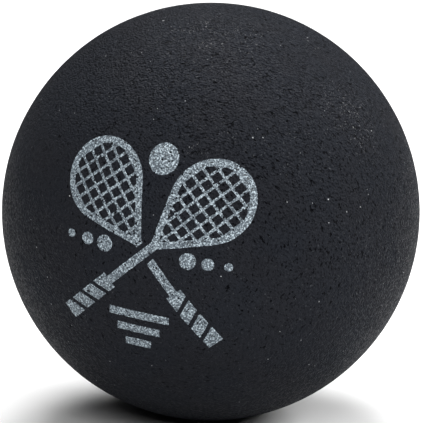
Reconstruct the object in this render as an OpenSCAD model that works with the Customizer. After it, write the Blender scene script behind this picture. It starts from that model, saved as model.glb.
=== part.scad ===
// Squash ball. Two moulded rubber half-shells are cemented rim to rim, and the outside is
// buffed matt. A generic mark of crossed rackets is printed on the front half, and one speed
// dot on the rear half. Millimetres, origin at the ball's centre, +Z up, seam plane at Y = 0.

/* [Ball] */
// Outside diameter of the ball
ball_d = 40; // [34:0.5:48]
// Thickness of the rubber wall
wall = 5; // [3:0.1:7]

/* [Seam] */
// Thickness of the cured cement between the two rims
cement_t = 0.12; // [0.06:0.01:0.4]
// Depth that buffing leaves the cement below the outside of the ball
cement_recess = 0.05; // [0.02:0.01:0.2]
// Radius of the bead of cement that is squeezed out inside the ball
bead_r = 0.6; // [0.3:0.05:1.5]

/* [Printing ink] */
// Thickness of the ink on the rubber
ink_t = 0.05; // [0.03:0.005:0.1]
// Width of the gap where one racket passes over the other
ink_gap = 0.45; // [0.2:0.05:0.9]

/* [Place of the mark] */
// Turn of the mark's centre from the front of the ball to its left, in degrees
mark_side_angle = 17; // [0:1:30]
// Rise of the mark's centre above the middle of the ball, in degrees
mark_rise_angle = -1; // [-25:1:25]
// Clockwise tilt of the mark, in degrees
mark_tilt_angle = 9; // [-45:1:45]
// Lean of each racket from upright, in degrees
racket_lean_angle = 43; // [38:1:50]

/* [Racket] */
// Outer radius of the round top of the racket head
head_r = 3.7; // [3:0.1:4.2]
// Distance from the crossing to the centre of the racket head
head_at = 7.4; // [6.5:0.1:8.5]
// Distance from the centre of the head down to the point of its throat
throat_drop = 6.9; // [6:0.1:8]
// Width of the racket's frame
frame_w = 0.6; // [0.3:0.05:0.9]
// Width of one string
string_w = 0.25; // [0.15:0.01:0.4]
// Distance from one string to the next
string_pitch = 1; // [0.7:0.05:1.6]
// Width of the shaft
shaft_w = 0.8; // [0.5:0.05:1.2]
// Length of the bare shaft below the crossing
shaft_below = 4.4; // [3.5:0.1:5.5]
// Width of the grip
grip_w = 1.6; // [1.2:0.05:2]
// Length of one turn of the grip's tape
tape_w = 1.15; // [0.8:0.05:1.5]
// Gap between two turns of the tape
tape_gap = 0.4; // [0.2:0.05:0.6]
// Turns of tape on the grip
tape_turns = 4; // [2:1:4]
// Slant of the tape's edges, in degrees
tape_slant_angle = 25; // [0:1:35]

/* [Small shapes of the mark] */
// Radius of the ball between the racket heads
small_ball_r = 1.35; // [0.8:0.05:1.6]
// Height of that ball above the crossing
small_ball_at = 8.3; // [7.8:0.1:9.5]
// Number of bars between the grips
bar_count = 3; // [2:1:4]
// Width of the top bar
top_bar_w = 5.6; // [4:0.1:7]
// Width of the bottom bar
bottom_bar_w = 2.4; // [1:0.1:4]
// Height of one bar
bar_h = 0.75; // [0.4:0.05:1]
// Distance from one bar to the next
bar_pitch = 1.4; // [1.2:0.05:1.6]
// Depth of the top bar's middle below the crossing
bars_at = 6; // [5.5:0.1:6.6]
// Number of dots on each side of the crossing
side_dot_count = 3; // [2:1:4]
// Radius of the innermost dot
inner_dot_r = 0.75; // [0.4:0.05:0.8]
// Radius of the outermost dot
outer_dot_r = 0.38; // [0.2:0.02:0.5]
// Distance from the crossing to the innermost dot
side_dots_at = 3.9; // [3.5:0.1:4.5]
// Distance from one dot to the next
side_dots_pitch = 1.75; // [1.5:0.05:2]

/* [Speed dot] */
// Diameter of the speed dot
speed_dot_d = 4.6; // [3:0.1:7]
// Turn of the speed dot from the rear of the ball to its left, in degrees
speed_dot_side_angle = 0; // [-40:1:40]
// Rise of the speed dot above the middle of the ball, in degrees
speed_dot_rise_angle = 0; // [-40:1:40]

/* [Hidden] */
$fn = 180;

// Distance by which a cutting shape runs past what it cuts
overrun = 1;

ball_r = ball_d / 2;
inner_r = ball_r - wall;
ink_r = ball_r + ink_t;
rim_y = cement_t / 2;

// Half of the angle at the throat's point, where the straight sides meet
throat_half = asin(head_r / throat_drop);
// Straight pieces that the arc over the top of a head is drawn with
head_steps = 36;
grip_pitch = tape_w + tape_gap;

rubber = [0.05, 0.052, 0.058];
cement = [0.11, 0.1, 0.09];
silver_ink = [0.58, 0.63, 0.67];
yellow_ink = [0.93, 0.78, 0.12];

// Half of the wall, on the side of the seam that y points to
module half_shell(side) {
    color(rubber)
        difference() {
            sphere(ball_r);
            sphere(inner_r);
            far = ball_d + overrun;
            translate([-far / 2, side > 0 ? rim_y - far : -rim_y, -far / 2]) cube(far);
        }
}

module front_half_shell() {
    half_shell(-1);
}

module rear_half_shell() {
    half_shell(1);
}

// Section of the cement, with the radius along X and the seam's thickness along Y
module cement_section() {
    film_out = ball_r - cement_recess;
    intersection() {
        translate([0, -rim_y]) square([film_out, cement_t]);
        difference() {
            circle(film_out);
            circle(inner_r);
        }
    }
    intersection() {
        translate([inner_r, 0]) circle(bead_r);
        circle(inner_r);
    }
}

// The film between the rims and the bead that it was squeezed into inside the ball
module seam_cement() {
    color(cement)
        rotate([90, 0, 0])
            rotate_extrude() cement_section();
}

// Carries a shape that is drawn looking at the ball, X to the right and Y up, to its place
module place_on_ball(left, up, tilt) {
    rotate([0, 0, -left])
        rotate([-up, 0, 0])
            rotate([90, 0, 0])
                rotate([0, 0, -tilt])
                    children();
}

// A flat drawing laid on the ball as a film of ink
module ink_film() {
    intersection() {
        difference() {
            sphere(ink_r);
            sphere(ball_r);
        }
        linear_extrude(ink_r + overrun) children();
    }
}

module on_mark(lean = 0) {
    place_on_ball(mark_side_angle, mark_rise_angle, mark_tilt_angle + lean)
        ink_film() children();
}

// A racket head's outline: an arc of radius r over the top, and straight sides that leave it
// as tangents and meet at the throat
module head_outline(r) {
    span = 180 + 2 * throat_half;
    polygon([
        for (i = [0 : head_steps])
            let (a = i * span / head_steps - throat_half)
            [r * cos(a), r * sin(a)],
        [0, -r / sin(throat_half)],
    ]);
}

// Strings in both directions, which end in the middle of the frame's width
module strings() {
    half_count = ceil(throat_drop / string_pitch);
    intersection() {
        head_outline(head_r - frame_w / 2);
        for (i = [-half_count : half_count]) {
            at = i * string_pitch;
            translate([at - string_w / 2, -throat_drop]) square([string_w, 2 * throat_drop]);
            translate([-head_r, at - string_w / 2]) square([2 * head_r, string_w]);
        }
    }
}

module racket_head() {
    translate([0, head_at]) {
        difference() {
            head_outline(head_r);
            head_outline(head_r - frame_w);
        }
        strings();
    }
}

// The shaft starts in the solid point of the throat and runs into the first turn of the grip
module racket_shaft() {
    throat_solid = (head_r - frame_w) / sin(throat_half);
    top = head_at - (throat_drop + throat_solid) / 2;
    bottom = -shaft_below - tape_w / 2;
    translate([-shaft_w / 2, bottom]) square([shaft_w, top - bottom]);
}

// Slanted turns of tape, the first of them square where it meets the shaft
module racket_grip() {
    rise = grip_w * tan(tape_slant_angle);
    for (i = [0 : tape_turns - 1]) {
        top = -shaft_below - i * grip_pitch;
        left_top = i == 0 ? top : top - rise / 2;
        right_top = i == 0 ? top : top + rise / 2;
        last = i == tape_turns - 1;
        bottom = top - tape_w;
        left_bottom = last ? bottom : bottom - rise / 2;
        right_bottom = last ? bottom : bottom + rise / 2;
        polygon([
            [-grip_w / 2, left_top],
            [grip_w / 2, right_top],
            [grip_w / 2, right_bottom],
            [-grip_w / 2, left_bottom],
        ]);
    }
}

module racket() {
    racket_head();
    racket_shaft();
    racket_grip();
}

module ink_racket_over() {
    color(silver_ink) on_mark(racket_lean_angle) racket();
}

// The racket beneath is left out in a strip along the upper one's shaft
module ink_racket_under() {
    strip = shaft_w + 2 * ink_gap;
    color(silver_ink)
        on_mark(-racket_lean_angle)
            difference() {
                racket();
                rotate(-2 * racket_lean_angle) square([strip, 2 * shaft_below], center = true);
            }
}

// Size of the i-th of count shapes in a row, whose sizes go evenly from first to last
function between(first, last, i, count) = first + (last - first) * i / (count - 1);

module ink_small_ball() {
    color(silver_ink) on_mark() translate([0, small_ball_at]) circle(small_ball_r);
}

module ink_bars() {
    color(silver_ink)
        for (i = [0 : bar_count - 1]) {
            width = between(top_bar_w, bottom_bar_w, i, bar_count);
            on_mark()
                translate([0, -bars_at - i * bar_pitch])
                    square([width, bar_h], center = true);
        }
}

module ink_side_dots() {
    color(silver_ink)
        for (side = [-1, 1], i = [0 : side_dot_count - 1]) {
            at = side_dots_at + i * side_dots_pitch;
            on_mark()
                translate([side * at, 0])
                    circle(between(inner_dot_r, outer_dot_r, i, side_dot_count));
        }
}

module speed_dot() {
    color(yellow_ink)
        rotate([0, 0, 180])
            place_on_ball(speed_dot_side_angle, speed_dot_rise_angle, 0)
                ink_film() circle(d = speed_dot_d);
}

front_half_shell();
rear_half_shell();
seam_cement();
ink_racket_over();
ink_racket_under();
ink_small_ball();
ink_bars();
ink_side_dots();
speed_dot();
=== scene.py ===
"""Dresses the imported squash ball: buffed rubber half-shells, cement, printed ink, and a studio."""
import itertools
import math

import bpy
import numpy as np
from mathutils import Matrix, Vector


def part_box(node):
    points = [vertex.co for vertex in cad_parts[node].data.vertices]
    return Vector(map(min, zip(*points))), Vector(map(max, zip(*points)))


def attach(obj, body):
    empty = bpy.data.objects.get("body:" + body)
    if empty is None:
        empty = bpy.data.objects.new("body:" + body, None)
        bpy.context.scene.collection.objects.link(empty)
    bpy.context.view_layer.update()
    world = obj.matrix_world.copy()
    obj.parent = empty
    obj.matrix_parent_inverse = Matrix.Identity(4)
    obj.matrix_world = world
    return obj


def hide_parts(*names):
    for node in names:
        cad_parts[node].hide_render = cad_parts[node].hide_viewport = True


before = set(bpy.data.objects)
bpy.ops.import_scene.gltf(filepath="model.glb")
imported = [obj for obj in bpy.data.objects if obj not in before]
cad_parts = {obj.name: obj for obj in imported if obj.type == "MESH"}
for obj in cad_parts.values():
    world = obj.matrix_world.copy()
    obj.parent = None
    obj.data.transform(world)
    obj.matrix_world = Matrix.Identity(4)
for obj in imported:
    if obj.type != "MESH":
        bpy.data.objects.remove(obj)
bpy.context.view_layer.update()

# Half-shells. The real ones are moulded from black butyl rubber, cemented rim to rim, spun against
# an abrasive wheel to clean off the flash, then tumbled until the whole outside is matt and pitted.
# The skin is the sphere of the frame, lowered by swells, buffing streaks, grain, pits and a groove.
MM = 0.001
shell_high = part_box("front_half_shell")[1]
BALL_R = shell_high.z
RIM_Y = -shell_high.y


def cad_points(node):
    """Corners of a CAD node, one row each."""
    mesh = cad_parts[node].data
    points = np.empty(len(mesh.vertices) * 3)
    mesh.vertices.foreach_get("co", points)
    return points.reshape(-1, 3)


INNER_R = np.linalg.norm(cad_points("front_half_shell"), axis=1).min()


def lattice_noise(points, cell, seed):
    """Random numbers from -1 to 1 at the corners of cubes with side cell, from a table that comes
    round again after table_side cubes. Each point blends the eight corners round it, by
    t*t*(3 - 2*t) of its place t in the cube along each axis."""
    table_side = 64
    table = np.random.default_rng(seed).uniform(-1, 1, (table_side, table_side, table_side))
    place = points / cell
    low = np.floor(place).astype(int)
    t = place - low
    t = t * t * (3 - 2 * t)
    total = np.zeros(len(points))
    for corner in itertools.product((0, 1), repeat=3):
        weight = np.where(corner, t, 1 - t).prod(axis=1)
        total += weight * table[tuple(((low + corner) % table_side).T)]
    return total


def dents(points, cell, seed, smallest=0.2, largest=0.55):
    """Depth from 0 to about 1 of round dents, one in each cube with side cell. A dent's radius is
    a share of the cube from smallest to largest, its depth follows its radius, and at a gap g
    from its centre it is (1 - (g/radius)^2)^2 of that depth."""
    table_side = 32
    rng = np.random.default_rng(seed)
    jitter = rng.uniform(0, 1, (table_side, table_side, table_side, 3))
    radius = rng.uniform(smallest, largest, (table_side, table_side, table_side))
    place = points / cell
    low = np.floor(place).astype(int)
    total = np.zeros(len(points))
    for offset in itertools.product((-1, 0, 1), repeat=3):
        cube = low + offset
        wrapped = tuple((cube % table_side).T)
        gap = np.linalg.norm(place - cube - jitter[wrapped], axis=1) / radius[wrapped]
        total += radius[wrapped] / largest * np.clip(1 - gap ** 2, 0, None) ** 2
    return total


# Mean depths of the swells, streaks and grain, full depths of the pits and the groove, and the
# size that each has along the surface
SWELL = 0.012 * MM
SWELL_CELL = 6 * MM
STREAK = 0.003 * MM
STREAK_CELL = 0.5 * MM
STREAK_STRETCH = 6
GRAIN = 0.004 * MM
GRAIN_CELL = 0.7 * MM
PIT = 0.03 * MM
PIT_CELL = 0.9 * MM
GROOVE = 0.03 * MM
GROOVE_W = 0.22 * MM


def ring_place(points):
    """Places whose first axis runs along the ball's arc from rear to front, R * acos(y / R), and
    whose other two are x and z shrunk by the stretch, so that noise on them makes streaks round
    the Y axis, as spinning on a wheel does."""
    arc = BALL_R * np.arccos(np.clip(points[:, 1] / BALL_R, -1, 1))
    return np.stack([arc, points[:, 0] / STREAK_STRETCH, points[:, 2] / STREAK_STRETCH], axis=1)


def relief(points):
    """How far the rubber lies below the ball's sphere at these points of it.

    Swells, streaks and grain are each their mean depth times 1 + a noise. The groove's depth at
    a distance d from the rim is exp(-(d/width)^2) of the full one."""
    swell = SWELL * (1 + lattice_noise(points, SWELL_CELL, seed=1))
    streak = STREAK * (1 + lattice_noise(ring_place(points), STREAK_CELL, seed=2))
    grain = GRAIN * (1 + lattice_noise(points, GRAIN_CELL, seed=3))
    pits = PIT * dents(points, PIT_CELL, seed=4)
    groove = GROOVE * np.exp(-((np.abs(points[:, 1]) - RIM_Y) / GROOVE_W) ** 2)
    return swell + streak + grain + pits + groove


def half_sphere_grid(steps, radius):
    """A square grid bent onto the half of a sphere that looks along -Y, cut at the seam.

    The grid's squares, |u| or |v| = r, become circles of radius r, each point at the angle
    pi/4 * (smaller/larger of u and v) from its side's middle. A circle r then goes to the
    polar angle 2*asin(r*sin(half the last angle)), which keeps all cells the same area."""
    u, v = np.meshgrid(*[np.linspace(-1, 1, steps + 1)] * 2, indexing="ij")
    wide = np.abs(u) >= np.abs(v)
    with np.errstate(divide="ignore", invalid="ignore"):
        across = np.where(wide, v / u, u / v)
    turn = math.pi / 4 * np.nan_to_num(across)
    r = np.where(wide, u, v)
    x = r * np.where(wide, np.cos(turn), np.sin(turn))
    z = r * np.where(wide, np.sin(turn), np.cos(turn))
    last = math.acos(RIM_Y / radius)
    ring = np.hypot(x, z)
    polar = 2 * np.arcsin(np.clip(ring * math.sin(last / 2), 0, 1))
    out = radius * np.sin(polar) / np.where(ring > 0, ring, 1)
    return np.stack([x * out, -radius * np.cos(polar), z * out], axis=-1).reshape(-1, 3)


def grid_faces(columns, rows):
    """Four corner numbers for each cell of a grid, whose points are numbered up one column, then
    up the next. There is one more point than there are cells along each side."""
    i, j = np.meshgrid(np.arange(columns), np.arange(rows), indexing="ij")
    corner = (i * (rows + 1) + j).ravel()
    return np.stack([corner, corner + rows + 1, corner + rows + 2, corner + 1], axis=1)


def grid_rim(steps):
    """The numbers of the points round a square grid's edge, in order."""
    side = np.arange(steps)
    n = steps + 1
    return np.concatenate([side * n, steps * n + side, (steps - side) * n + steps, steps - side])


def rim_faces(outer_rim, inner_rim):
    """Triangles between two rings of points: a fan from each inner point to its share of the
    outer ones, and one triangle more that closes the gap to the next inner point."""
    share = len(outer_rim) // len(inner_rim)
    start = np.arange(len(inner_rim))[:, None] * share
    outer = outer_rim[(start + np.arange(share + 1)) % len(outer_rim)]
    fans = [np.stack([inner_rim, outer[:, k], outer[:, k + 1]], axis=1) for k in range(share)]
    closing = np.stack([inner_rim, outer[:, share], np.roll(inner_rim, -1)], axis=1)
    return np.concatenate([*fans, closing])[:, ::-1]


SHARP_DEGREES = 50


def new_piece(name, points, faces, material, node):
    """A mesh object at the origin that rides on the ball in place of a CAD node. It is shaded
    smooth, but for the edges where its faces meet at more than the sharp angle."""
    mesh = bpy.data.meshes.new(name)
    mesh.from_pydata(points.tolist(), [], faces)
    mesh.shade_smooth()
    mesh.set_sharp_from_angle(angle=math.radians(SHARP_DEGREES))
    mesh.materials.append(material)
    piece = bpy.data.objects.new(name, mesh)
    bpy.context.scene.collection.objects.link(piece)
    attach(piece, "root")
    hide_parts(node)


SKIN_STEPS = 300
INSIDE_STEPS = 50


def half_shell(name, node, side, material):
    """A closed half-shell: the skin outside, a plain sphere inside, and a flat rim between them.
    side is -1 for the front half and 1 for the rear one, whose grids are the front's turned
    about Z."""
    outside = half_sphere_grid(SKIN_STEPS, BALL_R)
    inside = half_sphere_grid(INSIDE_STEPS, INNER_R)
    if side > 0:
        outside *= (-1, -1, 1)
        inside *= (-1, -1, 1)
    outer_rim = grid_rim(SKIN_STEPS)
    inner_rim = len(outside) + grid_rim(INSIDE_STEPS)
    skin = outside * (1 - relief(outside) / BALL_R)[:, None]
    skin[outer_rim, 1] = side * RIM_Y
    skin_faces = grid_faces(SKIN_STEPS, SKIN_STEPS)
    inside_faces = (grid_faces(INSIDE_STEPS, INSIDE_STEPS) + len(outside))[:, ::-1]
    faces = skin_faces.tolist() + inside_faces.tolist() + rim_faces(outer_rim, inner_rim).tolist()
    new_piece(name, np.concatenate([skin, inside]), faces, material, node)


class Wire:
    """An output of a shader node. Arithmetic with numbers or with other wires adds Math nodes."""

    def __init__(self, socket):
        self.socket = socket

    def node(self, kind, settings, inputs, output=0):
        """A new node in the same tree: its settings are set, then its inputs' values or links."""
        tree = self.socket.id_data
        made = tree.nodes.new(kind)
        for name, value in settings.items():
            setattr(made, name, value)
        for key, value in inputs.items():
            if isinstance(value, Wire):
                tree.links.new(value.socket, made.inputs[key])
            else:
                made.inputs[key].default_value = value
        return Wire(made.outputs[output])

    def math(self, operation, *values):
        """A Math node on these numbers or wires, in the order of its sockets."""
        inputs = dict(enumerate(values))
        return self.node("ShaderNodeMath", {"operation": operation}, inputs)

    def __add__(self, other):
        return self.math("ADD", self, other)

    def __sub__(self, other):
        return self.math("SUBTRACT", self, other)

    def __rsub__(self, other):
        return self.math("SUBTRACT", other, self)

    def __mul__(self, other):
        return self.math("MULTIPLY", self, other)

    def __truediv__(self, other):
        return self.math("DIVIDE", self, other)

    def __rtruediv__(self, other):
        return self.math("DIVIDE", other, self)

    __radd__ = __add__
    __rmul__ = __mul__

    def noise(self, cell, detail=2.0, roughness=0.5):
        """Noise from 0 to 1 with features about one cell wide, where self is the place."""
        sockets = {"Vector": self, "Scale": 1 / cell, "Detail": detail, "Roughness": roughness}
        return self.node("ShaderNodeTexNoise", {}, sockets)

    def step(self, start, end):
        """0 at start and before it, 1 at end and past it, and smooth between the two. The end
        may be the smaller one."""
        sockets = {"Value": self, "From Min": start, "From Max": end}
        return self.node("ShaderNodeMapRange", {"interpolation_type": "SMOOTHSTEP"}, sockets)

    def blend(self, first, second):
        """Colour first where self is 0, and second where it is 1."""
        sockets = {0: self, 6: first, 7: second}
        return self.node("ShaderNodeMix", {"data_type": "RGBA"}, sockets, output=2)


def new_material(name, settings):
    """A material, its Principled shader with constant settings, and the place on the object."""
    material = bpy.data.materials.new(name)
    material.use_nodes = True
    shader = material.node_tree.nodes["Principled BSDF"]
    for key, value in settings.items():
        shader.inputs[key].default_value = value
    place = material.node_tree.nodes.new("ShaderNodeTexCoord").outputs["Object"]
    return material, shader, Wire(place)


def plug(shader, **wires):
    """Links wires to the shader's inputs, whose names have an underscore for each space."""
    for key, wire in wires.items():
        tree = shader.id_data
        tree.links.new(wire.socket, shader.inputs[key.replace("_", " ")])


def tumbled_skin(place):
    """Wires for the tumbled surface: its height without pits, its dimples, and its pits.

    A dimple is 0 in its middle and 1 round it. Pits are 1 where a noise has its peaks, and that
    noise is on the arc R * acos(y / R), and on x and z shrunk by the stretch, so that pits are
    drawn out a little round the Y axis. Toward the top right, with x + 2 * z, the side where light
    grazes the skin, pits come more often, which in the rubber adds painted shade there, and the
    height, which swings about 0, grows to its full swing."""
    dimple_cell = 0.26 * MM
    grain_cell = 0.23 * MM
    pit_cell = 0.29 * MM
    pit_stretch = 1.5
    more_pits = 0.045
    dimple_height = 0.55
    mean_height = 0.9
    finest_swing = 0.5
    cells = {"Vector": place, "Scale": 1 / dimple_cell}
    dimples = place.node("ShaderNodeTexVoronoi", {"feature": "F1"}, cells).step(0.0, 0.6)
    grain = place.noise(grain_cell, roughness=0.7)
    x, y, z = (place.node("ShaderNodeSeparateXYZ", {}, {0: place}, output=k) for k in range(3))
    arc = place.math("ARCCOSINE", y / BALL_R) * BALL_R
    stretched = {0: x / pit_stretch, 1: arc, 2: z / pit_stretch}
    ring = place.node("ShaderNodeCombineXYZ", {}, stretched)
    # Toward the top right, where light grazes: more pits, which the rubber paints almost black as
    # painted shade.
    grazing_side = ((x + z * 2) / BALL_R).step(-0.7, 1.3)
    pits = (ring.noise(pit_cell, detail=1.0) + grazing_side * more_pits).step(0.68, 0.72)
    swing = grazing_side * (1 - finest_swing) + finest_swing
    height = (dimples * dimple_height + grain - mean_height) * swing
    return height, dimples, pits


def buffed_rubber():
    """Near-black rubber, bluish where it is clean and a little greyer where it has rubbed, with
    hollows darker than ridges as painted shade, and pits painted almost black as painted shade.
    Fine tops that a noise picks out are polished, with a coat that glints, and are painted paler
    as painted glints, more of them on the ball's right flank as a painted belt of light. Specks
    of chalky filler show here and there."""
    # Painted shade: the hollow colours are darker than the ridge ones. Clean and rubbed are the
    # rubber's own tones.
    clean_shaded_hollow = (0.0092, 0.0103, 0.0129, 1)
    rubbed_shaded_hollow = (0.0097, 0.0103, 0.0124, 1)
    clean_ridge = (0.0113, 0.0127, 0.0159, 1)
    rubbed_ridge = (0.0119, 0.0127, 0.0153, 1)
    # Painted shade: the pit colour, almost black, stands in for shade in the pits.
    pit_painted_shade = (0.0004, 0.0005, 0.0007, 1)
    # Painted glint: the polished-top colour is paler than the rubber round it.
    painted_glint = (0.013, 0.0155, 0.0195, 1)
    chalk = (0.32, 0.33, 0.34, 1)
    sheen_tint = (0.73, 0.77, 1, 1)
    rubbed_cell = 5 * MM
    polish_and_glint_cell = 0.16 * MM
    chalk_cell = 0.35 * MM
    roughness_cell = 0.3 * MM
    bump_height = 0.36 * MM
    pit_depth = 2.0
    pit_share = 0.95
    flank_polish_and_glint = 0.04
    polish_coat = 0.6
    least_rough = 0.5
    rough_swing = 0.3
    settings = {"Specular IOR Level": 0.04, "Specular Tint": sheen_tint, "Coat Roughness": 0.3}
    material, shader, place = new_material("buffed rubber", settings)
    height, _, pits = tumbled_skin(place)
    rubbed = place.noise(rubbed_cell, detail=3.0).step(0.35, 0.65)
    shaded_hollow = rubbed.blend(clean_shaded_hollow, rubbed_shaded_hollow)
    ridge = rubbed.blend(clean_ridge, rubbed_ridge)
    # Painted shade: hollows darker than ridges.
    colour = height.step(-0.4, 0.4).blend(shaded_hollow, ridge)
    # Painted shade: pits almost black.
    colour = (pits * pit_share).blend(colour, pit_painted_shade)
    # Painted glints: paler polished spots, crowded on the right flank (+X) as a painted belt of
    # light. Their coat gives real glints from the lamps.
    glint_flank = (place.node("ShaderNodeSeparateXYZ", {}, {0: place}) / BALL_R).step(0.45, 0.7)
    polish_and_glint = (place.noise(polish_and_glint_cell, detail=1.0) + glint_flank * flank_polish_and_glint).step(0.7, 0.76)
    colour = polish_and_glint.blend(colour, painted_glint)
    filler = place.noise(chalk_cell, detail=1.0).step(0.79, 0.82)
    colour = filler.blend(colour, chalk)
    coat = polish_and_glint * polish_coat
    rough_spots = place.noise(roughness_cell, detail=1.0).step(0.35, 0.65)
    roughness = least_rough + rough_spots * rough_swing
    bump = {"Strength": 1.0, "Distance": bump_height, "Height": height - pits * pit_depth}
    normal = place.node("ShaderNodeBump", {}, bump)
    plug(shader, Base_Color=colour, Roughness=roughness, Normal=normal, Coat_Weight=coat)
    return material


rubber = buffed_rubber()
half_shell("front_rubber", "front_half_shell", -1, rubber)
half_shell("rear_rubber", "rear_half_shell", 1, rubber)


# Seam cement. A coat of rubber solution on both rims, cured by the second moulding into one thin
# film with a bead inside the ball. Buffing leaves it a hair below the rubber, as a fine line.
# Its CAD solid has the right shape, so it stays and gets this material.


def cured_cement():
    """Dull brown-black rubber, smoother than the buffed outside, in darker and paler patches."""
    dark = (0.008, 0.0077, 0.0074, 1)
    pale = (0.015, 0.0135, 0.012, 1)
    patch_cell = 0.8 * MM
    grain_cell = 0.2 * MM
    bump_height = 0.02 * MM
    least_rough = 0.45
    rough_swing = 0.2
    material, shader, place = new_material("cured cement", {"Specular IOR Level": 0.16})
    patches = place.noise(patch_cell, detail=3.0)
    colour = patches.blend(dark, pale)
    roughness = least_rough + patches * rough_swing
    bump = {"Strength": 0.6, "Distance": bump_height, "Height": place.noise(grain_cell)}
    normal = place.node("ShaderNodeBump", {}, bump)
    plug(shader, Base_Color=colour, Roughness=roughness, Normal=normal)
    return material


cement_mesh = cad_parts["seam_cement"].data
cement_mesh.materials.clear()
cement_mesh.materials.append(cured_cement())

# Printed mark. Pale blue-grey ink, pressed onto the front half by a soft silicone pad. It follows
# the rubber's surface, is thinnest at its edges, and misses the pits that the pad didn't reach.
# Each film has the outline of its CAD node, a little uneven, and stands on the rubber's relief.

# The film's height over the rubber, the share of it at the edges, its reach into the rubber, and
# the cell of its grid
INK_T = 0.025 * MM
INK_EDGE_SHARE = 0.3
INK_ROOT = 0.03 * MM
INK_CELL = 0.06 * MM
# How far the outline wavers, and the cell of that noise
WAVER = 0.025 * MM
WAVER_CELL = 0.2 * MM
# Missed spots: the cube that holds one dent, how deep a dent is left bare, and the distance from
# the ink's edge that a full depth stands for
MISSED_CELL = 0.35 * MM
MISSED_DENT = 0.35
MISSED_SLOPE = 0.12 * MM


def open_sides(triangles):
    """The sides that only one triangle has, each as its two corner numbers."""
    sides = triangles[:, [0, 1, 1, 2, 2, 0]].reshape(-1, 2)
    ordered = np.sort(sides, axis=1)
    _, first, count = np.unique(ordered, axis=0, return_index=True, return_counts=True)
    return sides[first[count == 1]]


def film_outline(node):
    """The CAD film's outline: the ends of the sides between its outer face and its side walls.

    Corners that agree to these decimals of a metre are joined, and triangles that are a mere
    line then are left out. The outer face's triangles have all their corners on the film's
    outer sphere, and a side that only one of them has is on the outline."""
    decimals = 8
    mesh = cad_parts[node].data
    points, joined = np.unique(cad_points(node).round(decimals), axis=0, return_inverse=True)
    mesh.calc_loop_triangles()
    corners = np.empty(len(mesh.loop_triangles) * 3, int)
    mesh.loop_triangles.foreach_get("vertices", corners)
    triangles = joined.ravel()[corners].reshape(-1, 3)
    whole = (triangles != np.roll(triangles, 1, axis=1)).all(axis=1)
    radius = np.linalg.norm(points, axis=1)
    outer = (radius > (BALL_R + radius.max()) / 2)[triangles].all(axis=1)
    return points[open_sides(triangles[whole & outer])]


def signed_distance(places, segments):
    """Distance from each place on the plane to the nearest segment, below 0 inside the outline.

    The nearest point of a segment a-b is a + t*(b - a), with t clipped to 0..1. A place is
    inside if the line from it along +X crosses the outline an odd number of times."""
    nearest = np.full(len(places), np.inf)
    crossings = np.zeros(len(places), int)
    x, y = places.T
    for a, b in segments:
        step = b - a
        t = np.clip(((places - a) @ step) / (step @ step), 0, 1)
        nearest = np.minimum(nearest, np.linalg.norm(places - a - t[:, None] * step, axis=1))
        if a[1] != b[1]:
            spans = (a[1] > y) != (b[1] > y)
            crossings += spans & (x < a[0] + (y - a[1]) * step[0] / step[1])
    return np.where(crossings % 2 == 1, -nearest, nearest)


def cut_triangles(places, triangles, field):
    """The part of a flat triangle mesh where field is below 0, with new corners where it is 0.

    A triangle with one corner inside gives one triangle, and one with two gives two. The new
    corner on a side p-q lies at t = field(p) / (field(p) - field(q)) of the way."""
    inside = field[triangles] < 0
    count = inside.sum(axis=1)
    lone = np.where(count == 1, inside.argmax(axis=1), (~inside).argmax(axis=1))
    turned = np.take_along_axis(triangles, (lone[:, None] + np.arange(3)) % 3, axis=1)
    a, b, c = turned[(count == 1) | (count == 2)].T
    two = count[(count == 1) | (count == 2)] == 2
    sides = np.sort(np.concatenate([np.stack([a, b], 1), np.stack([a, c], 1)]), axis=1)
    sides, number = np.unique(sides, axis=0, return_inverse=True)
    number = number.ravel() + len(places)
    ab, ac = number[:len(a)], number[len(a):]
    p, q = sides.T
    t = (field[p] / (field[p] - field[q]))[:, None]
    cuts = places[p] * (1 - t) + places[q] * t
    faces = np.concatenate([
        triangles[count == 3],
        np.stack([a, ab, ac], 1)[~two],
        np.stack([ab, b, c], 1)[two],
        np.stack([ab, c, ac], 1)[two],
    ])
    used, faces = np.unique(faces, return_inverse=True)
    return np.concatenate([places, cuts])[used], faces.reshape(-1, 3)


def plane_grid(segments):
    """A flat grid of places over the segments and two cells round them, and its triangles, two
    for each cell."""
    margin = 2 * INK_CELL
    low = segments.min(axis=(0, 1)) - margin
    high = segments.max(axis=(0, 1)) + margin
    columns, rows = np.ceil((high - low) / INK_CELL).astype(int)
    i, j = np.meshgrid(np.arange(columns + 1), np.arange(rows + 1), indexing="ij")
    places = np.stack([i.ravel(), j.ravel()], 1) * INK_CELL + low
    cells = grid_faces(columns, rows)
    return places, np.concatenate([cells[:, [0, 1, 2]], cells[:, [0, 2, 3]]])


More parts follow.
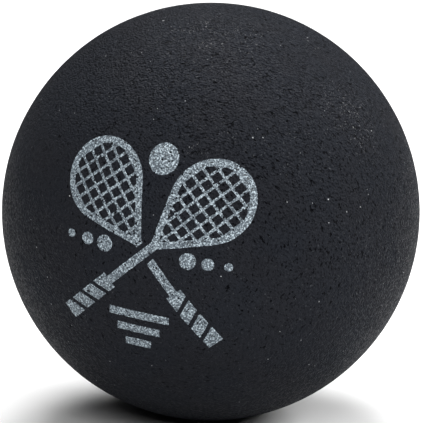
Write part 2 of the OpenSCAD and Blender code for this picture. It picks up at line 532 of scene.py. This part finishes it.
def ink_film(name, node, material):
    """A closed film of ink on the rubber, in the shape of the CAD node's.

    Its grid lies on the plane across the middle of the node. Ink is where the field is below 0:
    inside the outline, whose distance a noise makes waver, and off the spots that the pad
    missed, where random dents are deeper than MISSED_DENT. The film's outside and its root in
    the rubber follow the relief, and walls join the two all round."""
    outline = film_outline(node)
    normal = outline.reshape(-1, 3).mean(axis=0)
    normal /= np.linalg.norm(normal)
    right = np.cross((0, 0, 1), normal)
    right /= np.linalg.norm(right)
    up = np.cross(normal, right)

    def on_sphere(flat):
        """The place (x, y) on the plane goes to the sphere along the plane's normal, so its
        depth there is the root of R^2 - x^2 - y^2."""
        depth = np.sqrt(BALL_R ** 2 - (flat ** 2).sum(axis=1))
        return flat[:, :1] * right + flat[:, 1:] * up + depth[:, None] * normal

    segments = np.stack([outline @ right, outline @ up], axis=-1)
    places, triangles = plane_grid(segments)
    distance = signed_distance(places, segments)
    waver = WAVER * lattice_noise(on_sphere(places), WAVER_CELL, seed=11)
    spots = dents(on_sphere(places), MISSED_CELL, seed=12, smallest=0.1, largest=0.5)
    field = np.maximum(distance + waver, MISSED_SLOPE * (spots - MISSED_DENT))
    flat, faces = cut_triangles(places, triangles, field)
    edge = open_sides(faces)
    thickness = np.full(len(flat), INK_T)
    thickness[edge.ravel()] = INK_T * INK_EDGE_SHARE
    sphere = on_sphere(flat)
    rubber_r = BALL_R - relief(sphere)
    outside = sphere / BALL_R * (rubber_r + thickness)[:, None]
    root = sphere / BALL_R * (rubber_r - INK_ROOT)[:, None]
    n = len(flat)
    walls = np.stack([edge[:, 1], edge[:, 0], edge[:, 0] + n, edge[:, 1] + n], 1)
    all_faces = faces.tolist() + (faces[:, ::-1] + n).tolist() + walls.tolist()
    new_piece(name, np.concatenate([outside, root]), all_faces, material, node)


def printed_ink(name, thick, thin):
    """Matt ink on the tumbled surface: thick in some spots, worn thin in others, and mostly gone
    from the pits and from the middles of the dimples, where the rubber shows."""
    bare_rubber = (0.01, 0.012, 0.014, 1)
    cover_cell = 0.15 * MM
    roughness_cell = 0.6 * MM
    bump_height = 0.14 * MM
    pit_depth = 0.5
    pit_share = 0.75
    dimple_share = 0.7
    least_rough = 0.5
    rough_swing = 0.2
    material, shader, place = new_material(name, {"Specular IOR Level": 0.3})
    height, dimples, pits = tumbled_skin(place)
    cover = place.noise(cover_cell, roughness=0.7).step(0.44, 0.72)
    colour = cover.blend(thin, thick)
    colour = (dimples.step(0.2, 0.0) * dimple_share).blend(colour, bare_rubber)
    colour = (pits * pit_share).blend(colour, bare_rubber)
    roughness = least_rough + place.noise(roughness_cell) * rough_swing
    bump = {"Strength": 1.0, "Distance": bump_height, "Height": height - pits * pit_depth}
    normal = place.node("ShaderNodeBump", {}, bump)
    plug(shader, Base_Color=colour, Roughness=roughness, Normal=normal)
    return material


silver_ink = printed_ink("silver ink", thick=(0.44, 0.52, 0.57, 1), thin=(0.05, 0.064, 0.078, 1))
for node in ("ink_racket_over", "ink_racket_under", "ink_small_ball", "ink_bars", "ink_side_dots"):
    ink_film(node.replace("ink_", "printed_"), node, silver_ink)

# Speed dot. Yellow ink on the rear half, printed like the mark. Its colour tells how lively the
# rubber is. The photograph doesn't show that side.
yellow_ink = printed_ink("yellow ink", thick=(0.6, 0.42, 0.03, 1), thin=(0.22, 0.15, 0.011, 1))
ink_film("printed_speed_dot", "speed_dot", yellow_ink)

# Studio. A pale floor that the ball stands on, large soft lamps all round at one distance, and a
# world that adds next to nothing. None of it is part of the ball. Lengths are in metres here.
FLOOR_SIDE = 4.0
FLOOR_COLOUR = (0.61, 0.61, 0.61, 1)
LAMP_DISTANCE = 0.8
WORLD_STRENGTH = 0.005


def make_floor():
    """A flat square under the ball, in pale matt paint."""
    bpy.ops.mesh.primitive_plane_add(size=FLOOR_SIDE, location=(0, 0, -BALL_R))
    floor = bpy.context.object
    floor.name = "studio_floor"
    settings = {"Base Color": FLOOR_COLOUR, "Roughness": 0.9, "Specular IOR Level": 0.1}
    material, _, _ = new_material("pale floor", settings)
    floor.data.materials.append(material)


def look_at_ball(name, data, azimuth, elevation, distance):
    """Stands a lamp or a camera at this distance from the ball's centre, and turns it to face the
    ball. Azimuth 0 is the front, -Y, and 90 the right, +X, and both angles are in degrees."""
    a, e = math.radians(azimuth), math.radians(elevation)
    back = Vector((math.sin(a) * math.cos(e), -math.cos(a) * math.cos(e), math.sin(e)))
    stand = bpy.data.objects.new(name, data)
    bpy.context.scene.collection.objects.link(stand)
    stand.location = back * distance
    stand.rotation_euler = (-back).to_track_quat("-Z", "Y").to_euler()
    return stand


def soft_lamp(name, azimuth, elevation, side, power):
    """A square lamp that faces the ball, with its power in watts."""
    data = bpy.data.lights.new(name, "AREA")
    data.shape = "SQUARE"
    data.size = side
    data.energy = power
    look_at_ball(name, data, azimuth, elevation, LAMP_DISTANCE)


make_floor()
soft_lamp("front", azimuth=0, elevation=45, side=0.6, power=7.0)
soft_lamp("front_right", azimuth=60, elevation=35, side=0.4, power=4.4)
soft_lamp("right", azimuth=110, elevation=33, side=0.3, power=4.3)
soft_lamp("rear", azimuth=180, elevation=60, side=0.4, power=7.0)
soft_lamp("overhead", azimuth=180, elevation=80, side=0.5, power=5.1)

world = bpy.data.worlds.new("studio")
world.use_nodes = True
background = world.node_tree.nodes["Background"]
background.inputs["Color"].default_value = (1, 1, 1, 1)
background.inputs["Strength"].default_value = WORLD_STRENGTH
bpy.context.scene.world = world
bpy.context.scene.view_settings.view_transform = "Standard"

# Camera. It stands before the front half, a little above the ball's middle, with a long lens that
# makes the view nearly flat. The ball's middle and its radius in the frame are at the pixels that
# they have in the photograph.
FRAME_SIDE = 423
MIDDLE_X = 210.8
MIDDLE_Y = 211.5
RADIUS_PX = 209.2
CAMERA_ELEVATION = 10
LENS_MM = 200
SENSOR_MM = 36
CLIP_SHARE = 0.01


def make_camera():
    """Far enough back that the ball's outline, a cone round the view's axis, has that radius."""
    data = bpy.data.cameras.new("camera")
    data.lens = LENS_MM
    data.sensor_width = SENSOR_MM
    half_angle = math.atan(RADIUS_PX / FRAME_SIDE * SENSOR_MM / LENS_MM)
    distance = BALL_R / math.sin(half_angle)
    data.shift_x = (FRAME_SIDE / 2 - MIDDLE_X) / FRAME_SIDE
    data.shift_y = (MIDDLE_Y - FRAME_SIDE / 2) / FRAME_SIDE
    data.clip_start = distance * CLIP_SHARE
    bpy.context.scene.camera = look_at_ball("camera", data, 0, CAMERA_ELEVATION, distance)


make_camera()
